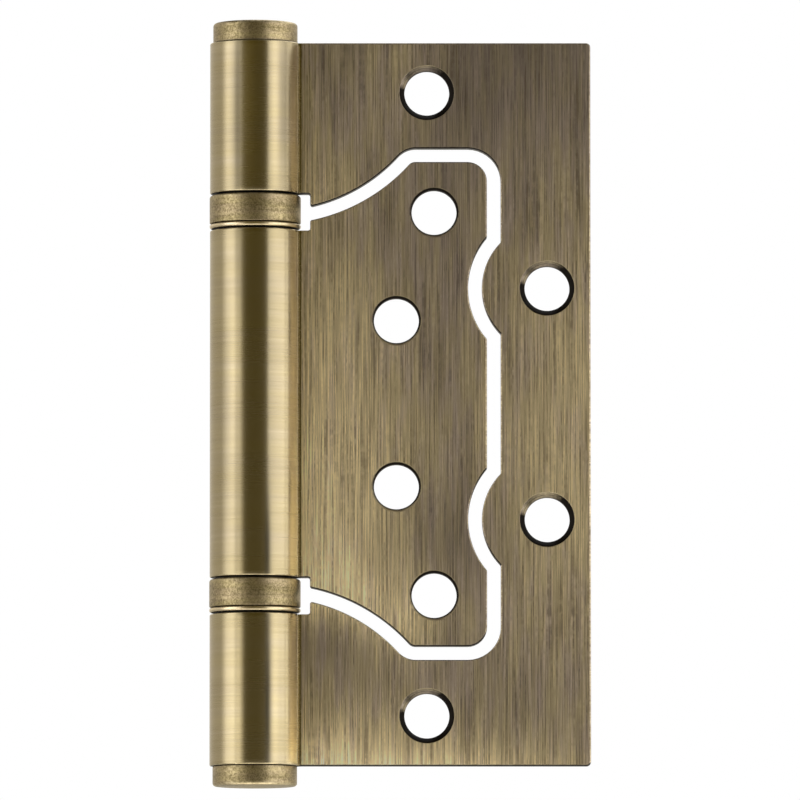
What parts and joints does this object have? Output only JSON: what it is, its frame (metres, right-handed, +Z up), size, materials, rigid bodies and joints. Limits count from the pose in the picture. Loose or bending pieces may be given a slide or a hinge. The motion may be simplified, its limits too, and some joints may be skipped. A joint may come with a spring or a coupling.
{
  "type": "non-mortise hinge",
  "caption": "Door hinge with an inner leaf nested in the outer leaf's window, a capped pin and ball bearings between the knuckles.",
  "frame": {"origin": "on the pin axis, halfway up the hinge", "axes": "+Z up along the pin, +X from the pin towards the leaves' free edges with the hinge closed, -Y the side where the knuckles' seams and the outer leaf's countersinks show"},
  "size_m": [0.0526, 0.0126, 0.1056],
  "materials": {
    "plated_leaf": "antique brass plate, brushed along the pin and lacquered",
    "plated_turned": "antique brass plate on turned and drawn steel",
    "bearing_steel": "hardened and ground",
    "pin_steel": "drawn, plain",
    "cage_brass": "stamped, plain"
  },
  "bodies": {
    "fixed_leaf": {"outer_leaf": "plated_leaf", "hinge_pin": "pin_steel", "top_cap": "plated_turned", "bottom_cap": "plated_turned", "upper_bearing_shell": "plated_turned", "upper_bearing_top_race": "bearing_steel", "lower_bearing_bottom_race": "plated_turned"},
    "swinging_leaf": {"inner_leaf": "plated_leaf", "upper_bearing_bottom_race": "plated_turned", "lower_bearing_shell": "plated_turned", "lower_bearing_top_race": "bearing_steel"},
    "upper_balls": {"upper_bearing_cage": "cage_brass", "upper_bearing_ball_01": "bearing_steel", "upper_bearing_ball_02": "bearing_steel", "upper_bearing_ball_03": "bearing_steel", "upper_bearing_ball_04": "bearing_steel", "upper_bearing_ball_05": "bearing_steel", "upper_bearing_ball_06": "bearing_steel", "upper_bearing_ball_07": "bearing_steel", "upper_bearing_ball_08": "bearing_steel", "upper_bearing_ball_09": "bearing_steel", "upper_bearing_ball_10": "bearing_steel", "upper_bearing_ball_11": "bearing_steel", "upper_bearing_ball_12": "bearing_steel"},
    "lower_balls": {"lower_bearing_cage": "cage_brass", "lower_bearing_ball_01": "bearing_steel", "lower_bearing_ball_02": "bearing_steel", "lower_bearing_ball_03": "bearing_steel", "lower_bearing_ball_04": "bearing_steel", "lower_bearing_ball_05": "bearing_steel", "lower_bearing_ball_06": "bearing_steel", "lower_bearing_ball_07": "bearing_steel", "lower_bearing_ball_08": "bearing_steel", "lower_bearing_ball_09": "bearing_steel", "lower_bearing_ball_10": "bearing_steel", "lower_bearing_ball_11": "bearing_steel", "lower_bearing_ball_12": "bearing_steel"}
  },
  "joints": [
    {"name": "leaf_swing", "type": "hinge", "parent": "fixed_leaf", "child": "swinging_leaf", "pos_m": [0, 0, 0], "axis": [0, 0, 1], "range_deg": [-180, 180]},
    {"name": "upper_balls_roll", "type": "hinge", "parent": "fixed_leaf", "child": "upper_balls", "pos_m": [0, 0, 0.02655], "axis": [0, 0, 1], "range_deg": [-90, 90]},
    {"name": "lower_balls_roll", "type": "hinge", "parent": "fixed_leaf", "child": "lower_balls", "pos_m": [0, 0, -0.02655], "axis": [0, 0, 1], "range_deg": [-90, 90]}
  ],
  "couplings": [
    {"joint": "upper_balls_roll", "follows": "leaf_swing", "ratio": 0.5},
    {"joint": "lower_balls_roll", "follows": "leaf_swing", "ratio": 0.5}
  ]
}
